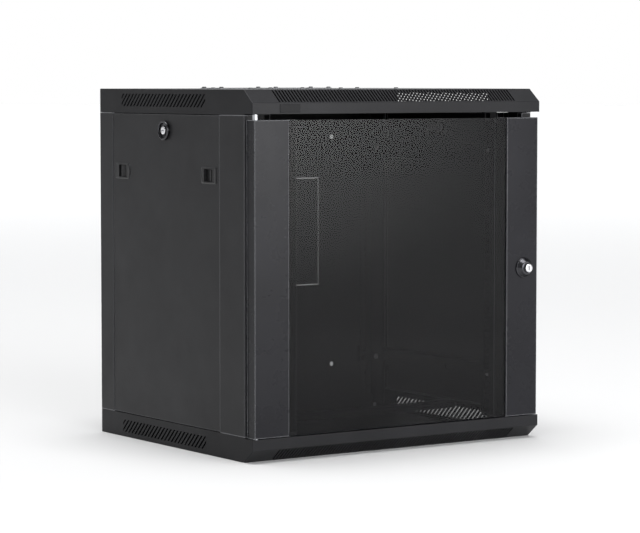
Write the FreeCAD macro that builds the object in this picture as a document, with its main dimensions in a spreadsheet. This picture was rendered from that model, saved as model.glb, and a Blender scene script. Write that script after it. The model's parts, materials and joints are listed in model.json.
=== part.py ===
"""Wall-mount 19-inch network cabinet, 12U: folded steel frame, glass door, lift-off side panels.

Millimetres. +Z is up, the door faces -Y, and the origin is the middle of the underside.
"""
import FreeCAD
import Part
import Sketcher
import math
import os
import re
from FreeCAD import Placement, Rotation, Vector

SIZES = {
    # overall body
    "width": 600, "depth": 500, "height": 615,
    # covers: folded trays with a bevelled, slotted front
    "cap_height": 42, "cover_steel": 1.5, "bevel_back": 27, "bevel_drop": 22,
    "bar_height": 18.3, "lip_depth": 20, "door_setback": 25, "edge_radius": 1.5, "seam": 0.4,
    "front_slot_pitch": 6.2, "front_slot_wide": 3.4, "front_slot_long": 30.5,
    "front_slot_count": 80,
    "side_slot_pitch": 11.15, "side_slot_wide": 5.2, "side_slot_tall": 22,
    "side_slot_start": -105, "side_slot_stop": 173, "side_slot_low": 8.5, "side_slot_count": 23,
    "fan_offset": 95, "fan_back": 40, "fan_slot_long": 104, "fan_slot_wide": 5,
    "fan_slot_pitch": 10.4, "fan_slot_count": 11, "fan_screw_half": 60.5, "screw_r": 2, "screw_play": 0.1,
    "entry_long": 220, "entry_wide": 46, "entry_back": 165, "entry_overlap": 12,
    # posts
    "frame_steel": 1.5, "post_face": 20, "post_side": 76, "post_lip": 12, "rear_side": 46,
    "rear_face": 30, "ledge_in": 14, "ledge_long": 12, "tongue_long": 52, "tongue_reach": 26,
    # side panels
    "panel_steel": 1.2, "panel_gap": 0.8, "panel_recess": 0.8, "panel_fold": 9,
    "side_lock_drop": 71, "ring_proud": 5.2, "latch_drop": 144, "latch_inset": 34,
    "latch_long": 48, "latch_tall": 28, "latch_window": 28, "latch_throat": 21,
    "latch_deep": 10,
    # rear panel
    "window_half": 170, "window_low": 244.4, "window_high": 447, "window_slit": 1.8,
    "window_bridge": 5, "wall_hole_x": 200, "wall_hole_low": 92, "wall_hole_high": 523,
    "wall_hole_r": 4.5, "panel_screw_in": 21, "frame_bolt_r": 2.5,
    # 19-inch rails and the brackets that carry them
    "unit": 44.45, "units": 12, "hole_step": 15.875, "hole_square": 9.5, "rail_holes_half": 232.55,
    "rail_inner": 225.4, "rail_side": 249.7, "rail_steel": 2, "rail_flange": 40,
    "front_rail_y": -190, "rear_rail_y": 190, "rail_bolt_back": 20, "rail_margin": 3.3,
    "bracket_web": 252, "bracket_tall": 30, "bracket_low": 110, "bracket_high": 505,
    "bracket_front": -210, "bracket_rear": 235, "bracket_slot_wide": 8,
    "bracket_slot_inner": 42, "bracket_slot_outer": 178,
    # braces between the sides
    "brace_half": 12, "brace_tall": 12,
    # door
    "door_gap_x": 4, "door_bottom": 41.5, "door_top": 565, "door_deep": 23.2, "door_steel": 1.2,
    "strip_wide": 68, "glass_back": 2.5, "glass_thick": 5, "glass_gap": 0.5, "tape_thick": 1.3,
    "strip_flange": 20, "door_fold": 1,
    # hinge
    "hinge_x": -290, "hinge_y": -243, "pin_r": 2.5, "pin_play": 0.05,
    # door lock
    "lock_x": 266, "lock_z": 302, "lock_hole_r": 10, "lock_plug_r": 7.5, "lock_flange": 3,
    "lock_cone_top": 11, "lock_proud": 16,
    "cam_long": 28, "cam_half": 6, "cam_back": 27.2,
    # badge
    "badge_left": -246, "badge_long": 40, "badge_tall": 13.5, "badge_thick": 0.8,
}

doc = FreeCAD.newDocument("cabinet")
sheet = doc.addObject("Spreadsheet::Sheet", "dim")
for row, (alias, number) in enumerate(SIZES.items(), start=1):
    sheet.set(f"A{row}", alias)
    sheet.set(f"B{row}", str(number))
    sheet.setAlias(f"B{row}", alias)
doc.recompute()
nodes = []


def link(text):
    """Turn names of sizes in a formula into references to the sheet's cells."""
    words = re.compile(r"[a-z][a-z0-9_]*")
    return words.sub(lambda m: "dim." + m.group() if m.group() in SIZES else m.group(), str(text))


def value(text):
    """The number that a formula gives with the sheet's present values."""
    return float(sheet.evalExpression(link(text).replace("dim.", "")))


def at(x="0", y="0", z="0"):
    """A point worked out from three formulas."""
    return Vector(value(x), value(y), value(z))


# ---------------------------------------------------------------- PartDesign helpers

def new_body(label):
    """A PartDesign body that becomes one node."""
    body = doc.addObject("PartDesign::Body", label)
    body.Label = label
    nodes.append(body)
    return body


def plane_sketch(body, plane, offset="0"):
    """A sketch parallel to one of the body's origin planes, moved along that plane's normal."""
    sketch = body.newObject("Sketcher::SketchObject", body.Label + "_sketch")
    support = [f for f in body.Origin.OriginFeatures if f.Role == plane][0]
    sketch.AttachmentSupport = [(support, "")]
    sketch.MapMode = "FlatFace"
    sketch.setExpression("AttachmentOffset.Base.z", link(offset))
    return sketch


def draw_polygon(sketch, points):
    """A closed outline whose corners are held by formulas."""
    first = sketch.GeometryCount
    places = [at(a, b) for a, b in points]
    count = len(places)
    for index, place in enumerate(places):
        sketch.addGeometry(Part.LineSegment(place, places[(index + 1) % count]), False)
    for index in range(count):
        after = first + (index + 1) % count
        sketch.addConstraint(Sketcher.Constraint("Coincident", first + index, 2, after, 1))
    for index, pair in enumerate(points):
        for kind, text, number in zip(("DistanceX", "DistanceY"), pair, places[index]):
            held = sketch.addConstraint(Sketcher.Constraint(kind, first + index, 1, number))
            sketch.setExpression(f"Constraints[{held}]", link(text))


def draw_circle(sketch, a, b, radius):
    """A circle whose centre and radius are held by formulas."""
    index = sketch.GeometryCount
    sketch.addGeometry(Part.Circle(at(a, b), Vector(0, 0, 1), value(radius)), False)
    rules = (("DistanceX", a, 3), ("DistanceY", b, 3))
    for kind, text, spot in rules:
        held = sketch.addConstraint(Sketcher.Constraint(kind, index, spot, value(text)))
        sketch.setExpression(f"Constraints[{held}]", link(text))
    held = sketch.addConstraint(Sketcher.Constraint("Radius", index, value(radius)))
    sketch.setExpression(f"Constraints[{held}]", link(radius))


def rectangle(a0, b0, a1, b1):
    """The four corners of an upright rectangle."""
    return [(a0, b0), (a1, b0), (a1, b1), (a0, b1)]


def pad(body, sketch, length):
    """Extrude a sketch along its own normal."""
    feature = body.newObject("PartDesign::Pad", body.Label + "_pad")
    feature.Profile = sketch
    feature.setExpression("Length", link(length))
    doc.recompute()
    return feature


def pocket(body, sketch, length):
    """Cut a sketch along its own normal and make sure that it met the solid."""
    before = body.Shape.Volume
    feature = body.newObject("PartDesign::Pocket", body.Label + "_pocket")
    feature.Profile = sketch
    feature.Reversed = True
    feature.setExpression("Length", link(length))
    doc.recompute()
    if body.Shape.Volume >= before - 0.01:
        raise RuntimeError(f"a pocket of {body.Label} cuts nothing")
    return feature


def drill(body, plane, offset, length, spots, radius):
    """Round holes through one sheet of a body."""
    sketch = plane_sketch(body, plane, offset)
    for a, b in spots:
        draw_circle(sketch, a, b, radius)
    return pocket(body, sketch, length)


def repeat(body, feature, sketch, axis, pitch, count):
    """Repeat a feature along a sketch axis and make the result the body's tip."""
    pattern = body.newObject("PartDesign::LinearPattern", body.Label + "_row")
    pattern.Originals = [feature]
    pattern.Direction = (sketch, [axis])
    pattern.setExpression("Occurrences", link(count))
    pattern.setExpression("Length", link(f"({pitch}) * (({count}) - 1)"))
    body.Tip = pattern
    doc.recompute()
    return pattern


def round_edges(body, feature, radius, wanted):
    """Fillet the edges of a feature whose middle point passes a test."""
    names = []
    for index, edge in enumerate(feature.Shape.Edges, start=1):
        middle = edge.valueAt((edge.FirstParameter + edge.LastParameter) / 2)
        if wanted(middle, edge):
            names.append(f"Edge{index}")
    fillet = body.newObject("PartDesign::Fillet", body.Label + "_bend")
    fillet.Base = (feature, names)
    fillet.setExpression("Radius", link(radius))
    doc.recompute()
    return fillet


# ---------------------------------------------------------------- Part helpers

def keep(feature, label):
    """Name a Part object and count it as a node."""
    feature.Label = label
    nodes.append(feature)
    return feature


def box(x0, x1, y0, y1, z0, z1):
    """A Part::Box between two corners given as formulas."""
    feature = doc.addObject("Part::Box", "block")
    for name, low, high in (("Length", x0, x1), ("Width", y0, y1), ("Height", z0, z1)):
        feature.setExpression(name, link(f"({high}) - ({low})"))
    for name, low in (("x", x0), ("y", y0), ("z", z0)):
        feature.setExpression("Placement.Base." + name, link(low))
    return feature


def cylinder(radius, length, base, axis=(0, 0, 1)):
    """A Part::Cylinder that starts at a point given by three formulas."""
    feature = doc.addObject("Part::Cylinder", "round")
    feature.setExpression("Radius", link(radius))
    feature.setExpression("Height", link(length))
    feature.Placement = Placement(Vector(), Rotation(Vector(0, 0, 1), Vector(*axis)))
    for name, text in zip("xyz", base):
        feature.setExpression("Placement.Base." + name, link(text))
    return feature


def fuse(*parts):
    """Join Part objects into one."""
    if len(parts) == 1:
        return parts[0]
    joined = doc.addObject("Part::MultiFuse", "joined")
    joined.Shapes = list(parts)
    joined.Refine = True
    return joined


def cut(base, *tools):
    """Take Part objects away from another."""
    result = doc.addObject("Part::Cut", "cut")
    result.Base = base
    result.Tool = fuse(*tools)
    result.Refine = True
    return result


def soften(base, radius, wanted):
    """Part::Fillet on the edges of a Part object whose middle point passes a test."""
    doc.recompute()
    size = value(radius)
    picked = []
    for index, edge in enumerate(base.Shape.Edges, start=1):
        middle = edge.valueAt((edge.FirstParameter + edge.LastParameter) / 2)
        if wanted(middle, edge):
            picked.append((index, size, size))
    fillet = doc.addObject("Part::Fillet", "softened")
    fillet.Base = base
    fillet.Edges = picked
    return fillet


def group(label, shapes):
    """Several like solids in one node."""
    feature = doc.addObject("Part::Feature", label)
    feature.Shape = Part.makeCompound(shapes)
    return keep(feature, label)


def side_name(side):
    """The word for one side of the cabinet: -1 is left, 1 is right, seen from the front."""
    return "left" if side < 0 else "right"


# ---------------------------------------------------------------- places of the screws

ENTRY_SCREWS = [(f"{across} * (entry_long + entry_overlap) / 2",
                 f"entry_back + {back} * (entry_wide + entry_overlap) / 2")
                for across in (-1, 0, 1) for back in (-1, 1)]
FAN_SCREWS = [(f"{side} * fan_offset + {across} * fan_screw_half", f"fan_back + {back} * fan_screw_half")
              for side in (-1, 1) for across in (-1, 1) for back in (-1, 1)]
PANEL_SCREW_LEVELS = ("70", "height/2", "height - 70")
LEDGE_MIDDLES = ("-depth/2 + door_setback + post_side + ledge_long/2",
                 "depth/2 - rear_side - ledge_long/2")
BRACKET_LEVELS = ("bracket_low", "bracket_high")


# ---------------------------------------------------------------- covers

def cover(label, top):
    """A tray with a bevelled front, folded sides and rear, and rows of slanted vent slots."""
    def level(inward):
        return f"height - ({inward})" if top else f"({inward})"

    body = new_body(label)
    front, rear = "-depth/2", "depth/2"
    bar_end = "bevel_drop + bar_height"
    outline = [(f"{front} + bevel_back", level("0")), (front, level("bevel_drop")),
               (front, level(bar_end)), (f"{front} + door_setback", level(bar_end)),
               (f"{front} + door_setback", level("cap_height")), (rear, level("cap_height")),
               (rear, level("0"))]
    outside = plane_sketch(body, "YZ_Plane", "-width/2")
    draw_polygon(outside, outline)
    block = pad(body, outside, "width")
    open_edge = value("bar_height + bevel_drop - 1")

    def is_bend(middle, edge):
        inward = value("height") - middle.z if top else middle.z
        return inward < open_edge

    round_edges(body, block, "edge_radius", is_bend)
    flat_turn = "cover_steel * tan(atan2(bevel_drop; bevel_back) / 2)"
    steep_turn = "cover_steel * tan(atan2(bevel_back; bevel_drop) / 2)"
    lip = f"{bar_end} - cover_steel"
    hollow = [(f"{front} + bevel_back + {flat_turn}", level("cover_steel")),
              (f"{front} + cover_steel", level(f"bevel_drop + {steep_turn}")),
              (f"{front} + cover_steel", level(lip)),
              (f"{front} + lip_depth", level(lip)),
              (f"{front} + lip_depth", level("cap_height + 1")),
              (f"{rear} - cover_steel", level("cap_height + 1")),
              (f"{rear} - cover_steel", level("cover_steel"))]
    inside = plane_sketch(body, "YZ_Plane", "-width/2 + cover_steel")
    draw_polygon(inside, hollow)
    pocket(body, inside, "width - 2*cover_steel")
    front_slots(body, top)
    side_slots(body, top)
    lip_hole = plane_sketch(body, "XY_Plane", level(f"{bar_end} - cover_steel / 2") + " - 2")
    draw_circle(lip_hole, "hinge_x", "hinge_y", "pin_r + pin_play")
    pocket(body, lip_hole, "4")
    entry = plane_sketch(body, "XY_Plane", level("cover_steel / 2") + " - 3")
    draw_polygon(entry, rectangle("-entry_long/2", "entry_back - entry_wide/2",
                                  "entry_long/2", "entry_back + entry_wide/2"))
    pocket(body, entry, "6")
    drill(body, "XY_Plane", level("cover_steel / 2") + " - 3", "6", ENTRY_SCREWS, "screw_r + screw_play")
    if top:
        fan_grilles(body)
        drill(body, "XY_Plane", "height - 5", "10", FAN_SCREWS, "screw_r + screw_play")
    return body


def front_slots(body, top):
    """The row of upright slots through the bevel, square to its sheet."""
    sketch = plane_sketch(body, "XZ_Plane", "depth/2 - bevel_back/2 - 2")
    turn = math.degrees(math.atan2(value("bevel_back"), value("bevel_drop")))
    middle = "height - bevel_drop/2" if top else "bevel_drop/2"
    spot = at("0", middle, "depth/2 - bevel_back/2")
    tilt = Rotation(Vector(1, 0, 0), -turn if top else turn)
    sketch.setExpression("AttachmentOffset.Base.z", None)
    sketch.AttachmentOffset = Placement(spot + tilt.multVec(Vector(0, 0, -4)), tilt)
    start = "-front_slot_pitch * (front_slot_count - 1) / 2"
    draw_polygon(sketch, rectangle(f"{start} - front_slot_wide/2", "-front_slot_long/2",
                                   f"{start} + front_slot_wide/2", "front_slot_long/2"))
    first = pocket(body, sketch, "8")
    repeat(body, first, sketch, "H_Axis", "front_slot_pitch", "front_slot_count")


def side_slots(body, top):
    """The row of 45 degree slots through both side folds."""
    low = "height - side_slot_low - side_slot_tall" if top else "side_slot_low"
    sketch = plane_sketch(body, "YZ_Plane", "-width/2 - 5")
    high = f"{low} + side_slot_tall"
    start = "side_slot_start"
    draw_polygon(sketch, [(f"{start} + side_slot_tall", low),
                          (f"{start} + side_slot_tall + side_slot_wide", low),
                          (f"{start} + side_slot_wide", high), (start, high)])
    first = pocket(body, sketch, "width + 10")
    repeat(body, first, sketch, "H_Axis", "side_slot_pitch", "side_slot_count")
    ends = plane_sketch(body, "YZ_Plane", "-width/2 - 5")
    early = f"({start} - side_slot_pitch)"
    draw_polygon(ends, [(start, f"{high} - side_slot_pitch + side_slot_wide"),
                        (f"{early} + side_slot_tall + side_slot_wide", low),
                        (f"{early} + side_slot_tall", low), (start, f"{high} - side_slot_pitch")])
    stop = "side_slot_stop"
    for extra in ("side_slot_count", "(side_slot_count + 1)"):
        late = f"({start} + {extra} * side_slot_pitch)"
        draw_polygon(ends, [(late, high), (f"{late} + side_slot_wide", high),
                            (stop, f"{high} - ({stop} - {late} - side_slot_wide)"),
                            (stop, f"{high} - ({stop} - {late})")])
    pocket(body, ends, "width + 10")


def fan_grilles(body):
    """Two square fields of slots over the fan positions, with their four fixing holes."""
    for side in (-1, 1):
        centre = f"{side} * fan_offset"
        sketch = plane_sketch(body, "XY_Plane", "height - 5")
        first_row = "fan_back - fan_slot_pitch * (fan_slot_count - 1) / 2"
        draw_polygon(sketch, rectangle(f"{centre} - fan_slot_long/2", f"{first_row} - fan_slot_wide/2",
                                       f"{centre} + fan_slot_long/2", f"{first_row} + fan_slot_wide/2"))
        first = pocket(body, sketch, "10")
        repeat(body, first, sketch, "V_Axis", "fan_slot_pitch", "fan_slot_count")


# ---------------------------------------------------------------- frame

def post_ends(body, side, low_y, high_y):
    """Tongues at both ends of a post, welded inside the folds of the two covers."""
    near = f"{side} * (width/2 - frame_steel)"
    far = f"{side} * (width/2 - 2*frame_steel)"
    for end in ("cap_height", "height - cap_height"):
        sketch = plane_sketch(body, "XY_Plane", f"{end} - tongue_reach")
        draw_polygon(sketch, rectangle(near, low_y, far, high_y))
        pad(body, sketch, "2 * tongue_reach")


def keeper_slot(body, side, edge):
    """The slot in a post's inner fold that a latch bolt enters."""
    sketch = plane_sketch(body, "YZ_Plane", f"{side} * (width/2 - 7) - 3.5")
    middle = "height - latch_drop"
    draw_polygon(sketch, rectangle(f"{edge} - 4", f"{middle} - 7", f"{edge} + 4", f"{middle} + 7"))
    pocket(body, sketch, "7")


def cam_slot(body, side):
    """The slot in a front post's inner lip through which the door lock's cam swings."""
    face = "-depth/2 + door_setback"
    sketch = plane_sketch(body, "YZ_Plane", f"{side} * (width/2 - post_face + 1) - 4")
    draw_polygon(sketch, rectangle(f"{face} + frame_steel", "lock_z - cam_long + 1",
                                   "-depth/2 + cam_back + 3", "lock_z + cam_half + 2"))
    pocket(body, sketch, "8")


def ledge_holes(body, side, back):
    """Holes in a post's ledge for the bolts of the two depth brackets."""
    spots = [(back, level) for level in BRACKET_LEVELS]
    start = f"{side} * (width/2 - ledge_in) - 4"
    drill(body, "YZ_Plane", start, "8", spots, "frame_bolt_r + screw_play")


def front_post(side):
    """Front corner post: narrow face behind the door, wide side, and a rebate for the panel."""
    body = new_body("front_post_" + side_name(side))
    face = "-depth/2 + door_setback"
    edge = f"{face} + post_side"
    steel = "frame_steel"
    section = [("post_face", f"{face} + post_lip"), ("post_face", face), ("0", face), ("0", edge),
               ("ledge_in", edge), ("ledge_in", f"{edge} + ledge_long"),
               (f"ledge_in + {steel}", f"{edge} + ledge_long"),
               (f"ledge_in + {steel}", f"{edge} - {steel}"), (steel, f"{edge} - {steel}"),
               (steel, f"{face} + {steel}"), (f"post_face - {steel}", f"{face} + {steel}"),
               (f"post_face - {steel}", f"{face} + post_lip")]
    extrude_post(body, side, section)
    post_ends(body, side, f"{face} + 8", f"{face} + 8 + tongue_long")
    keeper_slot(body, side, edge)
    cam_slot(body, side)
    ledge_holes(body, side, LEDGE_MIDDLES[0])


def rear_post(side):
    """Rear corner post: a side, a rear face and a rebate for the panel."""
    body = new_body("rear_post_" + side_name(side))
    edge = "depth/2 - rear_side"
    steel = "frame_steel"
    section = [("rear_face", "depth/2"), ("0", "depth/2"), ("0", edge), ("ledge_in", edge),
               ("ledge_in", f"{edge} - ledge_long"), (f"ledge_in + {steel}", f"{edge} - ledge_long"),
               (f"ledge_in + {steel}", f"{edge} + {steel}"), (steel, f"{edge} + {steel}"),
               (steel, f"depth/2 - {steel}"), ("rear_face", f"depth/2 - {steel}")]
    extrude_post(body, side, section)
    post_ends(body, side, "depth/2 - 36", "depth/2 - 8")
    keeper_slot(body, side, edge)
    ledge_holes(body, side, LEDGE_MIDDLES[1])
    spots = [(f"{side} * (width/2 - panel_screw_in)", level) for level in PANEL_SCREW_LEVELS]
    drill(body, "XZ_Plane", "-depth/2 - 1", "4", spots, "screw_r + screw_play")


def extrude_post(body, side, section):
    """Pad a post's section, given as distance inwards from the side face and depth."""
    sketch = plane_sketch(body, "XY_Plane", "cap_height + seam")
    draw_polygon(sketch, [(f"{side} * (width/2 - ({inward}))", back) for inward, back in section])
    block = pad(body, sketch, "height - 2*cap_height - 2*seam")
    outer = value("width/2")

    def is_corner(middle, edge):
        upright = abs(edge.tangentAt(edge.FirstParameter).z) > 0.9
        return upright and abs(abs(middle.x) - outer) < 0.01

    round_edges(body, block, "1.2", is_corner)


def rear_panel():
    """Back plate with a slit-outlined break-out window and four wall fixing holes."""
    body = new_body("rear_panel")
    back = "depth/2 - frame_steel"
    sketch = plane_sketch(body, "XZ_Plane", f"-({back})")
    draw_polygon(sketch, rectangle("-width/2 + 12", "18", "width/2 - 12", "height - 18"))
    pad(body, sketch, "frame_steel")
    through = f"-({back}) - 2"
    half, slit, bridge = "window_half", "window_slit", "window_bridge/2"
    middle = "(window_low + window_high) / 2"
    for side in (-1, 1):
        for edge, turn in (("window_low", 1), ("window_high", -1)):
            cutter = plane_sketch(body, "XZ_Plane", through)
            outer_x, inner_x = f"{side} * {half}", f"{side} * ({half} - {slit})"
            inner_z = f"{edge} + {turn} * {slit}"
            end_x, end_z = f"{side} * {bridge}", f"{middle} - {turn} * {bridge}"
            draw_polygon(cutter, [(end_x, edge), (outer_x, edge), (outer_x, end_z), (inner_x, end_z),
                                  (inner_x, inner_z), (end_x, inner_z)])
            pocket(body, cutter, "6")
            hole = plane_sketch(body, "XZ_Plane", through)
            level = "wall_hole_low" if turn > 0 else "wall_hole_high"
            draw_circle(hole, f"{side} * wall_hole_x", level, "wall_hole_r")
            pocket(body, hole, "6")
    spots = [(f"{side} * (width/2 - panel_screw_in)", level)
             for side in (-1, 1) for level in PANEL_SCREW_LEVELS]
    drill(body, "XZ_Plane", through, "6", spots, "screw_r + screw_play")


def cross_brace(label, top):
    """Folded channel that ties the two sides together just outside the equipment space."""
    body = new_body(label)
    face = "height - cap_height + 1.5" if top else "cap_height - 1.5 - brace_tall"
    sketch = plane_sketch(body, "XY_Plane", face)
    draw_polygon(sketch, rectangle("-width/2 + cover_steel", "-brace_half",
                                   "width/2 - cover_steel", "brace_half"))
    pad(body, sketch, "brace_tall")
    start = f"{face} + frame_steel" if top else f"{face} - 1"
    groove = plane_sketch(body, "XY_Plane", start)
    draw_polygon(groove, rectangle("-width/2", "-brace_half + frame_steel",
                                   "width/2", "brace_half - frame_steel"))
    pocket(body, groove, "brace_tall" if top else "brace_tall + 1 - frame_steel")


# ---------------------------------------------------------------- 19-inch rails

def depth_bracket(side, upper):
    """Slotted channel, front to back, that the 19-inch rails clamp to."""
    level = "bracket_high" if upper else "bracket_low"
    name = "depth_bracket_upper_" if upper else "depth_bracket_lower_"
    body = new_body(name + side_name(side))
    tall, steel = "bracket_tall/2", "frame_steel"
    web, reach = "bracket_web", "width/2 - ledge_in - frame_steel"
    section = [(web, f"-{tall}"), (reach, f"-{tall}"), (reach, f"-{tall} + {steel}"),
               (f"{web} + {steel}", f"-{tall} + {steel}"), (f"{web} + {steel}", f"{tall} - {steel}"),
               (reach, f"{tall} - {steel}"), (reach, tall), (web, tall)]
    sketch = plane_sketch(body, "XZ_Plane", "-bracket_rear")
    draw_polygon(sketch, [(f"{side} * ({across})", f"{level} + {up}") for across, up in section])
    pad(body, sketch, "bracket_rear - bracket_front")
    front_edge = "-depth/2 + door_setback + post_side"
    rear_edge = "depth/2 - rear_side"
    for low_y, high_y in ((front_edge, f"{front_edge} + ledge_long"),
                          (f"{rear_edge} - ledge_long", rear_edge)):
        tab = plane_sketch(body, "XY_Plane", f"{level} - {tall}")
        draw_polygon(tab, rectangle(f"{side} * ({reach})", low_y,
                                    f"{side} * ({reach} - {steel})", high_y))
        pad(body, tab, "bracket_tall")
    for turn in (-1, 1):
        slot = plane_sketch(body, "YZ_Plane", f"{side} * bracket_web - 4")
        half = "bracket_slot_wide/2"
        draw_polygon(slot, rectangle(f"{turn} * bracket_slot_inner", f"{level} - {half}",
                                     f"{turn} * bracket_slot_outer", f"{level} + {half}"))
        pocket(body, slot, "8")
    tab_start = f"{side} * ({reach} - {steel}/2) - 2"
    drill(body, "YZ_Plane", tab_start, "4", [(back, level) for back in LEDGE_MIDDLES],
          "frame_bolt_r + screw_play")


def rail_place(front):
    """Label, face position and the direction in which a rail's side flange runs."""
    return ("front", "front_rail_y", 1) if front else ("rear", "rear_rail_y", -1)


def mounting_rail(side, front):
    """Upright angle with square holes on the 19-inch pitch."""
    place, face, turn = rail_place(front)
    body = new_body(f"mount_rail_{place}_{side_name(side)}")
    low = "height/2 - units*unit/2"
    steel = "rail_steel"
    section = [("rail_inner", "0"), (f"rail_side + {steel}", "0"),
               (f"rail_side + {steel}", "rail_flange"), ("rail_side", "rail_flange"),
               ("rail_side", steel), ("rail_inner", steel)]
    sketch = plane_sketch(body, "XY_Plane", f"{low} - rail_margin")
    draw_polygon(sketch, [(f"{side} * ({across})", f"{face} + {turn} * ({back})")
                          for across, back in section])
    pad(body, sketch, "units*unit + 2*rail_margin")
    centre, half = f"{side} * rail_holes_half", "hole_square/2"
    for step in range(3):
        hole = plane_sketch(body, "XZ_Plane", f"-({face}) - 4")
        level = f"{low} + (unit - 2*hole_step)/2 + {step} * hole_step"
        draw_polygon(hole, rectangle(f"{centre} - {half}", f"{level} - {half}",
                                     f"{centre} + {half}", f"{level} + {half}"))
        first = pocket(body, hole, "8")
        repeat(body, first, hole, "V_Axis", "unit", "units")
    bolt_holes = plane_sketch(body, "YZ_Plane", f"{side} * rail_side - 5")
    for level in ("bracket_low", "bracket_high"):
        draw_circle(bolt_holes, f"{face} + {turn} * rail_bolt_back", level, "3.2")
    pocket(body, bolt_holes, "10")


def hexagon_nut(centre, axis, across, thick, bore):
    """A hexagon nut as a shape, from its centre along its axis."""
    radius = across / math.sqrt(3)
    corners = [Vector(radius * math.cos(math.radians(60 * k)), radius * math.sin(math.radians(60 * k)), 0)
               for k in range(7)]
    nut = Part.Face(Part.makePolygon(corners)).extrude(Vector(0, 0, thick))
    nut = nut.cut(Part.makeCylinder(bore, thick))
    nut.Placement = Placement(centre, Rotation(Vector(0, 0, 1), axis))
    return nut


def screw(tip, axis, shank_r, shank, head_r, head):
    """A domed screw as a shape: the shank starts at its tip and the head is at the far end."""
    rod = Part.makeCylinder(shank_r, shank)
    cap = Part.makeCylinder(head_r, head, Vector(0, 0, shank))
    rim = [edge for edge in cap.Edges if edge.Closed and edge.BoundBox.ZMin > shank + head - 0.01]
    cap = cap.makeFillet(head * 0.6, rim)
    corner = Vector(-head_r / 2, -head_r * 0.11, shank + head * 0.5)
    cross = Part.makeBox(head_r, head_r * 0.22, head * 0.5, corner)
    cross = cross.fuse(cross.rotated(Vector(), Vector(0, 0, 1), 90))
    result = rod.fuse(cap).cut(cross).removeSplitter()
    result.Placement = Placement(tip, Rotation(Vector(0, 0, 1), axis))
    return result


def rail_bolts(side, front):
    """The two clamp bolts of one rail, each with its nut behind the bracket."""
    place, face, turn = rail_place(front)
    shapes = []
    inwards = Vector(-side, 0, 0)
    for level in ("bracket_low", "bracket_high"):
        spot = at(f"{side} * (bracket_web + frame_steel + 8)", f"{face} + {turn} * rail_bolt_back", level)
        length = value("bracket_web + frame_steel + 8 - rail_side")
        shapes.append(screw(spot, inwards, 3, length, 5.5, 3))
        nut_spot = spot + inwards * 2.5
        shapes.append(hexagon_nut(nut_spot, inwards, 10, 5, 3))
    group(f"rail_bolts_{place}_{side_name(side)}", shapes)


# ---------------------------------------------------------------- side panels

PANEL_FRONT = "-depth/2 + door_setback + post_side + panel_gap"
PANEL_REAR = "depth/2 - rear_side - panel_gap"
PANEL_MIDDLE = "(door_setback + post_side - rear_side) / 2"


def side_panel(side):
    """Folded skin between the posts, with openings for its lock and two latches."""
    body = new_body("side_panel_" + side_name(side))
    low, high = "cap_height + panel_gap", "height - cap_height - panel_gap"
    outer, inner = "width/2 - panel_recess", "width/2 - panel_recess - panel_fold"
    start = f"-({outer})" if side < 0 else inner
    sketch = plane_sketch(body, "YZ_Plane", start)
    draw_polygon(sketch, rectangle(PANEL_FRONT, low, PANEL_REAR, high))
    block = pad(body, sketch, "panel_fold")
    skin = value(outer)

    def is_outer(middle, edge):
        return abs(abs(middle.x) - skin) < 0.01

    round_edges(body, block, "1", is_outer)
    steel = "panel_steel"
    hollow_start = f"-({outer}) + {steel}" if side < 0 else f"{inner} - 1"
    hollow = plane_sketch(body, "YZ_Plane", hollow_start)
    draw_polygon(hollow, rectangle(f"{PANEL_FRONT} + {steel}", f"{low} + {steel}",
                                   f"{PANEL_REAR} - {steel}", f"{high} - {steel}"))
    pocket(body, hollow, f"panel_fold - {steel} + 1")
    across = f"{side} * (width/2) - 4"
    round_hole = plane_sketch(body, "YZ_Plane", across)
    draw_circle(round_hole, PANEL_MIDDLE, "height - side_lock_drop", "9.5")
    pocket(body, round_hole, "8")
    level = "height - latch_drop"
    for end in (-1, 1):
        centre = latch_centre(end)
        window = plane_sketch(body, "YZ_Plane", across)
        half_long, half_tall = "((latch_long - 4)/2 + 0.1)", "((latch_tall - 4)/2 + 0.1)"
        draw_polygon(window, rectangle(f"{centre} - {half_long}", f"{level} - {half_tall}",
                                       f"{centre} + {half_long}", f"{level} + {half_tall}"))
        pocket(body, window, "8")
        edge = PANEL_FRONT if end < 0 else PANEL_REAR
        bolt_way = plane_sketch(body, "YZ_Plane", f"{side} * (width/2 - 7.6) - 2.1")
        draw_polygon(bolt_way, rectangle(f"{edge} - 2", f"{level} - 6.5", f"{edge} + 2", f"{level} + 6.5"))
        pocket(body, bolt_way, "4.2")


def latch_centre(end):
    """Middle of a latch, front to back: end is -1 at the front and 1 at the rear."""
    return f"({PANEL_FRONT}) + latch_inset" if end < 0 else f"({PANEL_REAR}) - latch_inset"


def depth_in(side, inward_low, inward_high):
    """Two X formulas, low then high, for a span measured inwards from the side face."""
    a, b = f"{side} * (width/2 - ({inward_low}))", f"{side} * (width/2 - ({inward_high}))"
    return (a, b) if side < 0 else (b, a)


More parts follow.
